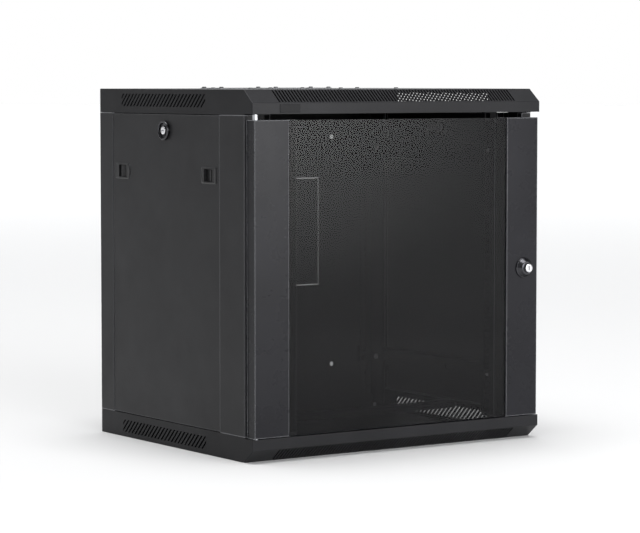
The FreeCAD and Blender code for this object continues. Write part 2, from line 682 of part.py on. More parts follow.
def side_lock(side):
    """Cam lock of a side panel: ringed barrel, key plug and cam."""
    name = side_name(side)
    centre = PANEL_MIDDLE, "height - side_lock_drop"
    out = (side, 0, 0)

    def disc(radius, inward_from, inward_to):
        length = f"({inward_from}) - ({inward_to})"
        return cylinder(radius, length, (f"{side} * (width/2 - ({inward_from}))", *centre), out)

    skin = "panel_recess"
    ring = fuse(disc("17", skin, f"{skin} - ring_proud"), disc("9.4", "10.4", skin))
    body = cut(ring, disc("7.05", "12", f"{skin} - 9"),
               disc("13", f"{skin} - 1.2", f"{skin} - ring_proud - 1"))
    rim_x = value(f"width/2 - {skin} + ring_proud")

    def is_rim(middle, edge):
        return abs(abs(middle.x) - rim_x) < 0.01 and edge.Length > 90

    keep(soften(body, "1.6", is_rim), "side_lock_body_" + name)
    plug = cut(fuse(disc("7", "11.4", f"{skin} - ring_proud + 1"), disc("3", "14", "11")),
               box(*depth_in(side, "-ring_proud", "1"), f"{centre[0]} - 0.9", f"{centre[0]} + 0.9",
                   f"{centre[1]} - 4.2", f"{centre[1]} + 4.2"))
    keep(plug, "side_lock_plug_" + name)
    arm = box(*depth_in(side, "11.4", "13.4"), centre[0], f"{centre[0]} + 36",
              f"{centre[1]} - 6", f"{centre[1]} + 6")
    hub = disc("8.5", "13.4", "11.4")
    keep(cut(fuse(arm, hub), disc("3", "14", "11")), "side_lock_cam_" + name)


def side_latch(side, end):
    """Slide latch: a framed housing in the panel and the bolt that slides in it."""
    name = ("front_" if end < 0 else "rear_") + side_name(side)
    centre, level = latch_centre(end), "height - latch_drop"
    skin = "panel_recess"

    def block(inward_low, inward_high, toward, away, half_tall):
        ends = (f"{centre} + {end} * ({toward})", f"{centre} + {end} * ({away})")
        low_y, high_y = ends if end < 0 else ends[::-1]
        span = depth_in(side, inward_low, inward_high)
        return box(*span, low_y, high_y, f"{level} - ({half_tall})", f"{level} + {half_tall}")

    half = "latch_long/2"
    plate = block(f"{skin} - 1.4", skin, half, f"-{half}", "latch_tall/2")
    housing = block(skin, "latch_deep", f"{half} - 2", f"-{half} + 2", "(latch_tall/2 - 2)")
    throat = block("-3", "latch_deep - 1", "latch_window/2", "-latch_window/2", "latch_throat/2")
    way = block("5.3", "latch_deep - 1", "latch_long", "0", "6.3")
    frame = cut(fuse(plate, housing), throat, way)
    plate_x = value(f"width/2 - {skin} + 1.4")

    def is_outer(middle, edge):
        return abs(abs(middle.x) - plate_x) < 0.01 and edge.Length > value("latch_tall") - 3

    keep(soften(frame, "0.8", is_outer), "side_latch_frame_" + name)
    grip = block("1.2", "5.8", "7.4", "1.4", "latch_throat/2 - 0.4")
    dish = block("-2", "4.8", "5.4", "1", "latch_throat/2 - 3")
    bolt = block("5.6", "8.6", "latch_inset - 0.4", "-12", "6")
    keep(fuse(cut(grip, dish), bolt), "side_latch_bolt_" + name)


# ---------------------------------------------------------------- door

DOOR_LEFT = "-width/2 + door_gap_x"
DOOR_RIGHT = "width/2 - door_gap_x"


def door_strip(label, side):
    """Folded edge strip of the door: a pan with a set-back flange that carries the glass."""
    body = new_body(label)
    outer = f"{side} * (width/2 - door_gap_x)"
    inner = f"{side} * (width/2 - door_gap_x - strip_wide)"
    front, back = "-depth/2", "-depth/2 + door_deep"
    sketch = plane_sketch(body, "XY_Plane", "door_bottom")
    draw_polygon(sketch, rectangle(outer, front, inner, back))
    block = pad(body, sketch, "door_top - door_bottom")
    face = value(front)

    def is_front(middle, edge):
        return abs(middle.y - face) < 0.01

    round_edges(body, block, "door_fold", is_front)
    steel = "door_steel"
    hollow = plane_sketch(body, "XY_Plane", f"door_bottom + {steel}")
    draw_polygon(hollow, rectangle(f"{outer} - {side} * {steel}", f"{front} + {steel}",
                                   f"{inner} + {side} * {steel}", f"{back} + 1"))
    pocket(body, hollow, f"door_top - door_bottom - 2*{steel}")
    seat = "glass_back + glass_thick + tape_thick"
    trim = plane_sketch(body, "XY_Plane", "door_bottom - 1")
    draw_polygon(trim, rectangle(f"{inner} - {side} * 1", f"{front} + {seat} + {steel}",
                                 f"{inner} + {side} * {steel}", f"{back} + 1"))
    pocket(body, trim, "door_top - door_bottom + 2")
    flange = plane_sketch(body, "XY_Plane", "door_bottom")
    draw_polygon(flange, rectangle(f"{inner} + {side} * {steel}", f"{front} + {seat}",
                                   f"{inner} - {side} * strip_flange", f"{front} + {seat} + {steel}"))
    pad(body, flange, "door_top - door_bottom")
    return body


def door():
    """Two edge strips, the pane between them and the tape that holds it."""
    hinge_side = door_strip("door_strip_hinge", -1)
    for level in ("door_bottom", "door_top"):
        ear = plane_sketch(hinge_side, "XY_Plane", f"{level} - 2")
        draw_circle(ear, "hinge_x", "hinge_y", "pin_r + pin_play")
        pocket(hinge_side, ear, "4")
    lock_side = door_strip("door_strip_lock", 1)
    hole = plane_sketch(lock_side, "XZ_Plane", "depth/2 - 3")
    draw_circle(hole, "lock_x", "lock_z", "lock_hole_r")
    pocket(lock_side, hole, "6")
    edge = "(width/2 - door_gap_x - strip_wide - glass_gap)"
    glass_front = "-depth/2 + glass_back"
    pane = box(f"-{edge}", edge, glass_front, f"{glass_front} + glass_thick", "door_bottom", "door_top")
    keep(soften(pane, "0.5", lambda middle, rim: True), "door_glass")
    tape_front = f"{glass_front} + glass_thick"
    strips = []
    for side in (-1, 1):
        outer, inner = f"{side} * {edge}", f"{side} * ({edge} - strip_flange + 3)"
        low, high = (outer, inner) if side < 0 else (inner, outer)
        strips.append(box(low, high, tape_front, f"{tape_front} + tape_thick",
                          "door_bottom + 6", "door_top - 6"))
    tape = doc.addObject("Part::Compound", "tape")
    tape.Links = strips
    keep(tape, "door_glass_tape")


def hinge():
    """Sprung upper pin with its bush, bracket and spring, and the fixed lower pin."""
    spot = "hinge_x", "hinge_y"
    play = "pin_r + pin_play"

    def rod(radius, low, high):
        return cylinder(radius, f"({high}) - ({low})", (*spot, low))

    cap = "door_top - door_steel"
    pin = rod("pin_r", "door_top - 48", "height - cap_height + 4")
    collar = rod("4.4", f"{cap} - 3", f"{cap} - 0.4")
    handle = cylinder("2", "16", ("hinge_x", "hinge_y", "door_top - 45.5"), (1, 0, 0))
    keep(fuse(pin, collar, handle), "hinge_pin_upper")
    keep(cut(rod("4.5", "door_top", "door_top + 8.6"), rod(play, "door_top", "door_top + 9")),
         "hinge_bush_upper")
    wall = f"{DOOR_LEFT} + door_steel"
    shelf = box(wall, "hinge_x + 12", "-depth/2 + door_steel", "hinge_y + 9",
                "door_top - 34", "door_top - 32")
    stay = box(wall, f"{wall} + 1.5", "-depth/2 + door_steel", "hinge_y + 9",
               "door_top - 54", "door_top - 34")
    keep(cut(fuse(shelf, stay), rod(play, "door_top - 36", "door_top - 30")), "hinge_bracket_upper")
    coil(spot, "door_top - 31.7", f"{cap} - 3.3")
    stud = fuse(rod("pin_r", "bevel_drop + bar_height - 5", "door_bottom + 9"),
                rod("4.6", "bevel_drop + bar_height", "door_bottom - 0.3"))
    keep(stud, "hinge_pin_lower")


def coil(spot, low, high):
    """Compression spring round the upper pin."""
    wire = 0.45
    radius = value("pin_r") + 1.0
    start, end = value(low) + wire, value(high) - wire
    turns = 8
    helix = Part.makeHelix((end - start) / turns, end - start, radius)
    ring = Part.Wire(Part.Circle(Vector(radius, 0, 0), Vector(0, 1, 0), wire).toShape())
    spring = Part.Wire(helix).makePipeShell([ring], True, True)
    feature = doc.addObject("Part::Feature", "hinge_spring_upper")
    feature.Shape = spring
    feature.Placement = Placement(at(*spot, low) + Vector(0, 0, wire), Rotation())
    keep(feature, "hinge_spring_upper")


def door_lock():
    """Quarter-turn lock: escutcheon and barrel, nut, winged key plug and cam."""
    out = (0, -1, 0)

    def disc(radius, back_from, back_to):
        place = ("lock_x", f"-depth/2 + ({back_from})", "lock_z")
        return cylinder(radius, f"({back_from}) - ({back_to})", place, out)

    nose = doc.addObject("Part::Cone", "nose")
    nose.setExpression("Radius1", link("lock_hole_r + 6"))
    nose.setExpression("Radius2", link("lock_hole_r + 0.5"))
    nose.setExpression("Height", link("lock_cone_top - lock_flange"))
    nose.Placement = Placement(at("lock_x", "-depth/2 - lock_flange", "lock_z"),
                               Rotation(Vector(0, 0, 1), Vector(*out)))
    shell = cut(fuse(disc("18", "0", "-lock_flange"), nose, disc("lock_hole_r - 0.1", "24", "0")),
                disc("lock_plug_r + 0.05", "25", "-lock_cone_top - 1"))
    flange_y = value("-depth/2 - lock_flange")

    def is_rim(middle, edge):
        return abs(middle.y - flange_y) < 0.01 and edge.Length > 105

    keep(soften(shell, "1.6", is_rim), "door_lock_body")
    nut_place = at("lock_x", "-depth/2 + door_steel", "lock_z")
    nut = hexagon_nut(nut_place, Vector(0, 1, 0), 24, 4, value("lock_hole_r - 0.1"))
    group("door_lock_nut", [nut])
    knob = fuse(disc("lock_plug_r", "26.2", "-lock_proud"), disc("3", "30", "26"))
    face_y = value("-depth/2 - lock_proud")
    knob = soften(knob, "0.8", lambda middle, edge: abs(middle.y - face_y) < 0.01)
    slit = box("lock_x - 0.9", "lock_x + 0.9", "-depth/2 - lock_proud - 1",
               "-depth/2 - lock_proud + 5", "lock_z - 4.2", "lock_z + 4.2")
    keep(cut(knob, slit), "door_lock_plug")
    arm = box("lock_x - cam_half", "lock_x + cam_half", "-depth/2 + cam_back",
              "-depth/2 + cam_back + 2", "lock_z - cam_long", "lock_z")
    hub = disc("8.5", "cam_back + 2", "cam_back")
    keep(cut(fuse(arm, hub), disc("3", "31", "26")), "door_lock_cam")


# ---------------------------------------------------------------- plates and fasteners

def entry_plate(label, face, thick_up):
    """Plate that closes a cable entry, with rounded corners."""
    long_half, wide_half = "entry_long/2 + entry_overlap", "entry_wide/2 + entry_overlap"
    plate = box(f"-({long_half})", long_half, f"entry_back - ({wide_half})",
                f"entry_back + {wide_half}", face, f"{face} + {thick_up}")

    def is_corner(middle, edge):
        return abs(edge.tangentAt(edge.FirstParameter).z) > 0.9

    holes = [cylinder("screw_r + screw_play", "6", (across, back, f"{face} - 2"))
             for across, back in ENTRY_SCREWS]
    keep(cut(soften(plate, "5", is_corner), *holes), label)


def small_parts():
    """Entry plates, screws, the bonding stud and the blank badge."""
    entry_plate("cable_plate_top", "height", "1.2")
    entry_plate("cable_plate_bottom", "cover_steel", "1.2")
    up = Vector(0, 0, 1)
    thread = value("screw_r")
    group("plate_screws_top",
          [screw(at(x, y, "height + 1.2 - 8"), up, thread, 8, 4, 2) for x, y in ENTRY_SCREWS])
    group("plate_screws_bottom",
          [screw(at(x, y, "0.4"), up, thread, value("cover_steel + 1.2") - 0.4, 4, 2)
           for x, y in ENTRY_SCREWS])
    group("fan_screws_top",
          [screw(at(x, y, "height - 8"), up, thread, 8, 4, 2.2) for x, y in FAN_SCREWS])
    group("rear_panel_screws",
          [screw(at(f"{side} * (width/2 - panel_screw_in)", "depth/2", level), Vector(0, -1, 0),
                 thread, value("2*frame_steel"), 4.2, 2.4)
           for side in (-1, 1) for level in PANEL_SCREW_LEVELS])
    group("frame_bolts",
          [screw(at(f"{side} * (width/2 - ledge_in + 1.6)", back, level), Vector(-side, 0, 0),
                 value("frame_bolt_r"), value("2*frame_steel + 1.6"), 4.5, 2.4)
           for side in (-1, 1) for back in LEDGE_MIDDLES for level in BRACKET_LEVELS])
    stud_place = at("width/2 - 40", "depth/2 - 60", "cover_steel")
    stud = Part.makeCylinder(3, 18, stud_place)
    washer = Part.makeCylinder(7, 1.2, stud_place).cut(Part.makeCylinder(3, 2, stud_place))
    nut = hexagon_nut(stud_place + up * 1.2, up, 10, 5, 3)
    group("earth_stud", [stud, washer, nut])
    badge = box("badge_left", "badge_left + badge_long", "-depth/2 - badge_thick", "-depth/2",
                "height - bevel_drop - bar_height/2 - badge_tall/2",
                "height - bevel_drop - bar_height/2 + badge_tall/2")
    front = value("-depth/2 - badge_thick")
    keep(soften(badge, "0.4", lambda middle, edge: abs(middle.y - front) < 0.01), "blank_badge")


# ---------------------------------------------------------------- assembly

cover("top_cover", True)
cover("bottom_cover", False)
rear_panel()
cross_brace("cross_brace_upper", True)
cross_brace("cross_brace_lower", False)
for hand in (-1, 1):
    front_post(hand)
    rear_post(hand)
    side_panel(hand)
    side_lock(hand)
    for end in (-1, 1):
        side_latch(hand, end)
    for upper in (True, False):
        depth_bracket(hand, upper)
    for front in (True, False):
        mounting_rail(hand, front)
        rail_bolts(hand, front)
door()
hinge()
door_lock()
small_parts()
doc.recompute()

for item in doc.Objects:
    if "Invalid" in item.State or "Error" in item.State:
        raise RuntimeError(f"{item.Label} did not recompute")
os.makedirs("parts", exist_ok=True)
for node in nodes:
    if node.Shape.isNull() or not node.Shape.isValid():
        raise RuntimeError(f"{node.Label} has no valid shape")
    node.Shape.exportStep(f"parts/{node.Label}.step")
print(len(nodes), "nodes written")
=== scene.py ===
import json
import math

import bmesh
import bpy
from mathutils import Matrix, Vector


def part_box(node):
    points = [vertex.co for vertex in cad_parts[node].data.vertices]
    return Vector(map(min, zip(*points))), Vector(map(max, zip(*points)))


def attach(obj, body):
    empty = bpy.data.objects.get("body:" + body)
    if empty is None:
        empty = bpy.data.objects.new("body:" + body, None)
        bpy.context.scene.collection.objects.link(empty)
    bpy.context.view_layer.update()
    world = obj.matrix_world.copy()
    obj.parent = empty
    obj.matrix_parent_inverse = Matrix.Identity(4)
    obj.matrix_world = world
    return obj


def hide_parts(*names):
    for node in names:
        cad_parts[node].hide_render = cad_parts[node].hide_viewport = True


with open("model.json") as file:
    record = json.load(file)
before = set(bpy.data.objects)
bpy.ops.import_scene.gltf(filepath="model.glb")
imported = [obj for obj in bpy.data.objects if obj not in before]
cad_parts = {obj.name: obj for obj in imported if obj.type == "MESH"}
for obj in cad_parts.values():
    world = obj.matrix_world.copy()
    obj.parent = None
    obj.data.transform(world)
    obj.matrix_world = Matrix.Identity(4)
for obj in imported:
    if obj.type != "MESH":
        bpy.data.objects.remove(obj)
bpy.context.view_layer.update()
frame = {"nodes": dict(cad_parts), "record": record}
nodes = frame["nodes"]
record = frame["record"]
MM = 0.001


# ---------------------------------------------------------------- materials

def node_adder(tree):
    """A function that adds a node to a tree, joining its inputs to sockets or setting their values."""
    def add(kind, inputs=None, **settings):
        node = tree.nodes.new(kind)
        for key, setting in settings.items():
            setattr(node, key, setting)
        for key, source in (inputs or {}).items():
            if isinstance(source, bpy.types.NodeSocket):
                tree.links.new(source, node.inputs[key])
            else:
                node.inputs[key].default_value = source
        return node
    return add


def blank(name):
    """An empty material with a Principled shader, and a function that adds and joins nodes in it."""
    material = bpy.data.materials.new(name)
    material.use_nodes = True
    tree = material.node_tree
    return material, tree, tree.nodes["Principled BSDF"], node_adder(tree)


def spread(add, source, low, high):
    """A 0-to-1 value stretched to run from low to high."""
    return add("ShaderNodeMapRange", {"Value": source, "From Min": 0.3, "From Max": 0.7,
                                      "To Min": low, "To Max": high}).outputs["Result"]


def noise(add, place, scale, detail=2.0, rough=0.5):
    """A noise value over the object's own coordinates; scale is in bumps per metre."""
    inputs = {"Vector": place, "Scale": scale, "Detail": detail, "Roughness": rough}
    return add("ShaderNodeTexNoise", inputs).outputs["Fac"]


def powder_coat(name, dark, light, shine, speckle=0.35, specular=0.5, edge=0.0):
    """Fine-textured powder coat: pebbled, faintly clouded, with paler grains, and, where edge is set, thin
    paler lines along the folds that are a painted highlight.
    """
    material, tree, shader, add = blank(name)
    place = add("ShaderNodeTexCoord").outputs["Object"]
    cloud = noise(add, place, 9, 3)
    grain = noise(add, place, 1300, 2, 0.6)
    tone = add("ShaderNodeMix", {"Factor": spread(add, cloud, 0, 1)}, data_type="RGBA")
    tone.inputs[6].default_value = (*dark, 1)
    tone.inputs[7].default_value = (*light, 1)
    pale = [min(1.0, part * 2.6) for part in light]
    grains = add("ShaderNodeMapRange", {"Value": grain, "From Min": 0.58, "From Max": 0.72,
                                        "To Min": 0.0, "To Max": speckle})
    flecked = add("ShaderNodeMix", {"Factor": grains.outputs["Result"]}, data_type="RGBA")
    tree.links.new(tone.outputs[2], flecked.inputs[6])
    flecked.inputs[7].default_value = (*pale, 1)
    tree.links.new(flecked.outputs[2], shader.inputs["Base Color"])
    # painted highlight: along rounded folds the base colour turns pale grey (0.34), standing in for the
    # light that the folds catch
    if edge:
        eased = add("ShaderNodeBevel", {"Radius": 1.8 * MM}, samples=8).outputs["Normal"]
        normal = add("ShaderNodeNewGeometry").outputs["Normal"]
        likeness = add("ShaderNodeVectorMath", {0: eased, 1: normal}, operation="DOT_PRODUCT")
        fold_highlight_mask = add("ShaderNodeMapRange", {"Value": likeness.outputs["Value"], "From Min": 0.998,
                                          "From Max": 0.95, "To Min": 0.0, "To Max": edge})
        painted_fold_highlight = add("ShaderNodeMix", {"Factor": fold_highlight_mask.outputs["Result"]}, data_type="RGBA")
        tree.links.new(flecked.outputs[2], painted_fold_highlight.inputs[6])
        painted_fold_highlight.inputs[7].default_value = (0.34, 0.345, 0.36, 1)
        tree.links.new(painted_fold_highlight.outputs[2], shader.inputs["Base Color"])
    patch = noise(add, place, 26, 4, 0.6)
    tree.links.new(spread(add, patch, shine - 0.04, shine + 0.05), shader.inputs["Roughness"])
    skin = noise(add, place, 850, 3, 0.55)
    bump = add("ShaderNodeBump", {"Height": skin, "Strength": 0.22, "Distance": 0.0003})
    tree.links.new(bump.outputs["Normal"], shader.inputs["Normal"])
    shader.inputs["Specular IOR Level"].default_value = specular
    return material


def metal(name, dark, light, shine, brushed=0.0):
    """Bare or plated metal: faint clouding, and fine scratches along one direction."""
    material, tree, shader, add = blank(name)
    place = add("ShaderNodeTexCoord").outputs["Object"]
    cloud = noise(add, place, 160, 3)
    tone = add("ShaderNodeMix", data_type="RGBA")
    tree.links.new(spread(add, cloud, 0, 1), tone.inputs["Factor"])
    tone.inputs[6].default_value = (*dark, 1)
    tone.inputs[7].default_value = (*light, 1)
    tree.links.new(tone.outputs[2], shader.inputs["Base Color"])
    stretched = add("ShaderNodeMapping", {"Vector": place, "Scale": (1.0, 1.0, 14.0)}).outputs["Vector"]
    scratch = noise(add, stretched, 420, 4, 0.7)
    tree.links.new(spread(add, scratch, shine, shine + 0.12 + brushed), shader.inputs["Roughness"])
    bump = add("ShaderNodeBump", {"Height": scratch, "Strength": 0.1 + brushed, "Distance": 0.0002})
    tree.links.new(bump.outputs["Normal"], shader.inputs["Normal"])
    shader.inputs["Metallic"].default_value = 1.0
    return material


def moulding(name, dark, light, shine, pebble, specular=0.5):
    """Moulded plastic or rubber with a pebbled skin."""
    material, tree, shader, add = blank(name)
    place = add("ShaderNodeTexCoord").outputs["Object"]
    cloud = noise(add, place, 60, 3)
    tone = add("ShaderNodeMix", data_type="RGBA")
    tree.links.new(spread(add, cloud, 0, 1), tone.inputs["Factor"])
    tone.inputs[6].default_value = (*dark, 1)
    tone.inputs[7].default_value = (*light, 1)
    tree.links.new(tone.outputs[2], shader.inputs["Base Color"])
    tree.links.new(spread(add, cloud, shine, shine + 0.08), shader.inputs["Roughness"])
    skin = noise(add, place, 1500, 2)
    bump = add("ShaderNodeBump", {"Height": skin, "Strength": pebble, "Distance": 0.0002})
    tree.links.new(bump.outputs["Normal"], shader.inputs["Normal"])
    shader.inputs["Specular IOR Level"].default_value = specular
    return material


def tinted_glass(name):
    """Smoked tempered glass with the slightest film of dust."""
    material, tree, shader, add = blank(name)
    place = add("ShaderNodeTexCoord").outputs["Object"]
    film = noise(add, place, 5, 4, 0.6)
    tone = add("ShaderNodeMix", data_type="RGBA")
    tree.links.new(spread(add, film, 0, 1), tone.inputs["Factor"])
    tone.inputs[6].default_value = (0.004, 0.004, 0.0045, 1)
    tone.inputs[7].default_value = (0.007, 0.007, 0.0075, 1)
    tree.links.new(tone.outputs[2], shader.inputs["Base Color"])
    tree.links.new(spread(add, film, 0.07, 0.10), shader.inputs["Roughness"])
    shader.inputs["Alpha"].default_value = 0.55
    shader.inputs["Specular IOR Level"].default_value = 0.20
    return material


# edge= sets how strong the painted highlight on the folds is
PAINT = powder_coat("cabinet powder coat", (0.011, 0.011, 0.012), (0.016, 0.016, 0.0175), 0.38,
                    specular=0.2, edge=0.8)
COVER_PAINT = powder_coat("cover powder coat", (0.012, 0.012, 0.013), (0.017, 0.017, 0.0185), 0.36,
                          specular=0.12)
STRIP_PAINT = powder_coat("door strip powder coat", (0.006, 0.006, 0.0078), (0.009, 0.009, 0.0115),
                          0.28, speckle=0.2, specular=0.20, edge=1.0)
INNER_PAINT = powder_coat("inner powder coat", (0.009, 0.009, 0.010), (0.013, 0.013, 0.014), 0.48,
                          specular=0.2)
FINISHES = {
    "cabinet_black": PAINT,
    "tinted_glass": tinted_glass("smoked glass"),
    "zinc": metal("zinc plate", (0.50, 0.51, 0.53), (0.63, 0.64, 0.66), 0.26, 0.1),
    "chrome": metal("chrome", (0.66, 0.66, 0.68), (0.80, 0.80, 0.82), 0.10),
    "black_plastic": moulding("black plastic", (0.011, 0.011, 0.012), (0.017, 0.017, 0.018), 0.34, 0.15),
    "tape": moulding("foam tape", (0.010, 0.010, 0.010), (0.020, 0.020, 0.020), 0.85, 0.6),
    "badge_black": moulding("gloss badge", (0.006, 0.006, 0.007), (0.010, 0.010, 0.011), 0.16, 0.03, 0.08),
}
LOCK_BLACK = metal("black chrome", (0.045, 0.045, 0.05), (0.075, 0.075, 0.08), 0.16)

INNER_NODES = ("rear_panel", "cross_brace", "depth_bracket", "mount_rail")
slot_of = {part["node"]: part["material_slot"] for part in record["subparts"]}
for name, node in nodes.items():
    finish = FINISHES[slot_of[name]]
    if name.startswith("door_strip"):
        finish = STRIP_PAINT
    elif name in ("top_cover", "bottom_cover"):
        finish = COVER_PAINT
    elif name.startswith(INNER_NODES):
        finish = INNER_PAINT
    node.data.materials.clear()
    node.data.materials.append(finish)


# ---------------------------------------------------------------- mesh tools

def disc(radius):
    """A round outline."""
    return lambda turn: (radius * math.cos(turn), radius * math.sin(turn))


def lozenge(half_u, half_v, square=0.22):
    """A rounded rectangle outline."""
    def spot(turn):
        c, s = math.cos(turn), math.sin(turn)
        return (half_u * math.copysign(abs(c) ** square, c), half_v * math.copysign(abs(s) ** square, s))
    return spot


def cross(reach, half):
    """A four-armed outline, as a cross-head recess has."""
    def spot(turn):
        off = abs((turn + math.pi / 4) % (math.pi / 2) - math.pi / 4)
        radius = min(reach, half / max(math.sin(off), 1e-6))
        return (radius * math.cos(turn), radius * math.sin(turn))
    return spot


def loft(bm, centre, axis, sections, up=(0, 0, 1), count=64, open_start=False):
    """A skin over outlines set along an axis from a centre: sections are (outline, distance) pairs."""
    axis, up = Vector(axis), Vector(up)
    across = up.cross(axis).normalized()
    rings = []
    for outline, reach in sections:
        ring = []
        for step in range(count):
            u, v = outline(2 * math.pi * (step + 0.5) / count)
            ring.append(bm.verts.new(Vector(centre) + axis * reach + across * u + up * v))
        rings.append(ring)
    for low, high in zip(rings, rings[1:]):
        for step in range(count):
            after = (step + 1) % count
            bm.faces.new((low[step], low[after], high[after], high[step]))
    if not open_start:
        bm.faces.new(rings[0][::-1])
    bm.faces.new(rings[-1])


def rounded(radius, low, high, edge, steps=4):
    """Sections of a disc's rim that curves in over its last edge-wide part, from low to high."""
    sections = [(disc(radius), low)]
    for step in range(steps + 1):
        turn = math.pi / 2 * step / steps
        sections.append((disc(radius - edge + edge * math.cos(turn)), high - edge + edge * math.sin(turn)))
    return sections


def finish_piece(name, bm, material, body, replaced=(), bevel=None):
    """Turn a bmesh into a named piece that rides on a body and stands for some CAD nodes."""
    bmesh.ops.recalc_face_normals(bm, faces=bm.faces)
    mesh = bpy.data.meshes.new(name)
    bm.to_mesh(mesh)
    bm.free()
    piece = bpy.data.objects.new(name, mesh)
    bpy.context.scene.collection.objects.link(piece)
    mesh.materials.append(material)
    mesh.shade_smooth()
    mesh.set_sharp_from_angle(angle=math.radians(38))
    if bevel:
        add_bevel(piece, bevel)
    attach(piece, body)
    if replaced:
        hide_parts(*replaced)
    return piece


def add_bevel(piece, width, limit=40):
    """Round a piece's hard edges by a small amount."""
    bevel = piece.modifiers.new("soft edges", "BEVEL")
    bevel.width = width
    bevel.segments = 2
    bevel.limit_method = "ANGLE"
    bevel.angle_limit = math.radians(limit)
    bevel.use_clamp_overlap = True
    bevel.harden_normals = True


def middle_of(name):
    """The middle of a node's box."""
    low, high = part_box(name)
    return (low + high) / 2


# ---------------------------------------------------------------- door lock

lock_low, lock_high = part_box("door_lock_body")
plug_low, plug_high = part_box("door_lock_plug")
lock_mid = middle_of("door_lock_body")
flange_r = (lock_high.x - lock_low.x) / 2
plug_r = (plug_high.x - plug_low.x) / 2
door_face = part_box("door_strip_lock")[0].y
lock_at = Vector((lock_mid.x, door_face, lock_mid.z))
front = Vector((0, -1, 0))
nose_top = door_face - lock_low.y

bm = bmesh.new()
loft(bm, lock_at, front,
     [(disc(plug_r + 0.4 * MM), nose_top - 3 * MM), (disc(plug_r + 0.6 * MM), nose_top - 0.3 * MM)]
     + [(disc(10.5 * MM), nose_top), (disc(11.4 * MM), nose_top - 0.5 * MM),
        (disc(12.4 * MM), nose_top - 2.2 * MM), (disc(14.3 * MM), nose_top - 5.0 * MM),
        (disc(15.9 * MM), 4.0 * MM), (disc(16.4 * MM), 3.1 * MM), (disc(flange_r - 1.2 * MM), 2.9 * MM),
        (disc(flange_r - 0.4 * MM), 2.3 * MM), (disc(flange_r), 1.3 * MM),
        (disc(flange_r), 0.0), (disc(9.9 * MM), -0.1 * MM), (disc(9.9 * MM), -24 * MM)], count=72)
finish_piece("door_lock_escutcheon", bm, LOCK_BLACK, "door", ["door_lock_body"])

bm = bmesh.new()
proud = door_face - plug_low.y
loft(bm, lock_at, front, [(disc(3 * MM), door_face - plug_high.y), (disc(3 * MM), -26.2 * MM),
                          (disc(plug_r), -26.1 * MM)]
     + rounded(plug_r, -26 * MM, proud, 0.9 * MM)
     + [(disc(plug_r - 1.6 * MM), proud), (disc(plug_r - 1.9 * MM), proud - 0.5 * MM),
        (disc(plug_r - 2.3 * MM), proud - 0.5 * MM), (lozenge(1.0 * MM, 4.2 * MM), proud - 0.5 * MM),
        (lozenge(0.9 * MM, 4.1 * MM), proud - 5 * MM)], count=72)
finish_piece("door_lock_key_plug", bm, FINISHES["chrome"], "door_lock", ["door_lock_plug"])


# ---------------------------------------------------------------- side locks and latches

def side_lock_pieces(side, word):
    """The ringed lock of a side panel and its key plug."""
    ring_low, ring_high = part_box(f"side_lock_body_{word}")
    plug_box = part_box(f"side_lock_plug_{word}")
    panel_low, panel_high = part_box(f"side_panel_{word}")
    skin = panel_low.x if side < 0 else panel_high.x
    ring_r = (ring_high.z - ring_low.z) / 2
    key_r = (plug_box[1].z - plug_box[0].z) / 2
    middle = middle_of(f"side_lock_body_{word}")
    base = Vector((skin, middle.y, middle.z))
    out = Vector((side, 0, 0))
    ring_out = ring_high.x - skin if side > 0 else skin - ring_low.x
    key_out = plug_box[1].x - skin if side > 0 else skin - plug_box[0].x
    depth = 9.5 * MM
    ring = bmesh.new()
    loft(ring, base, out,
         [(disc(9.3 * MM), -depth), (disc(9.3 * MM), 0.0)] + rounded(ring_r, 0.0, ring_out, 1.8 * MM)
         + [(disc(ring_r - 2.4 * MM), ring_out - 0.1 * MM), (disc(ring_r - 3.6 * MM), ring_out - 0.9 * MM),
            (disc(ring_r - 4.4 * MM), 1.2 * MM), (disc(key_r + 1.6 * MM), 0.6 * MM),
            (disc(key_r + 1.0 * MM), 1.4 * MM), (disc(key_r + 0.4 * MM), 1.2 * MM),
            (disc(key_r + 0.3 * MM), -depth + 1 * MM)], count=72)
    finish_piece(f"side_lock_ring_{word}", ring, LOCK_BLACK, f"side_panel_{word}",
                 [f"side_lock_body_{word}"])
    plug = bmesh.new()
    tail = plug_box[0].x - skin if side > 0 else skin - plug_box[1].x
    loft(plug, base, out,
         [(disc(3 * MM), tail), (disc(3 * MM), -10.6 * MM), (disc(key_r), -10.5 * MM)]
         + rounded(key_r, -10.4 * MM, key_out, 0.9 * MM)
         + [(disc(key_r - 1.5 * MM), key_out), (disc(key_r - 1.9 * MM), key_out - 0.5 * MM),
            (lozenge(4.2 * MM, 1.0 * MM), key_out - 0.5 * MM),
            (lozenge(4.1 * MM, 0.9 * MM), key_out - 4 * MM)], count=72)
    finish_piece(f"side_lock_key_{word}", plug, FINISHES["chrome"], f"side_lock_{word}",
                 [f"side_lock_plug_{word}"])


def corner_path(corners, cut, steps=4):
    """Points along a closed outline whose corners are eased over a cut length."""
    path = []
    for index, corner in enumerate(corners):
        before, after = corners[index - 1], corners[(index + 1) % len(corners)]
        here = Vector(corner)
        start = here + (Vector(before) - here).normalized() * cut
        end = here + (Vector(after) - here).normalized() * cut
        for step in range(steps + 1):
            t = step / steps
            path.append(start * (1 - t) ** 2 + here * 2 * t * (1 - t) + end * t ** 2)
    return path


def skin_paths(bm, place, paths):
    """A skin over closed outlines with equal numbers of points, capped at both ends."""
    rings = [[bm.verts.new(place(spot.x, spot.y, level)) for spot in path] for path, level in paths]
    count = len(rings[0])
    for low, high in zip(rings, rings[1:]):
        for step in range(count):
            after = (step + 1) % count
            bm.faces.new((low[step], low[after], high[after], high[step]))
    bm.faces.new(rings[0][::-1])
    bm.faces.new(rings[-1])


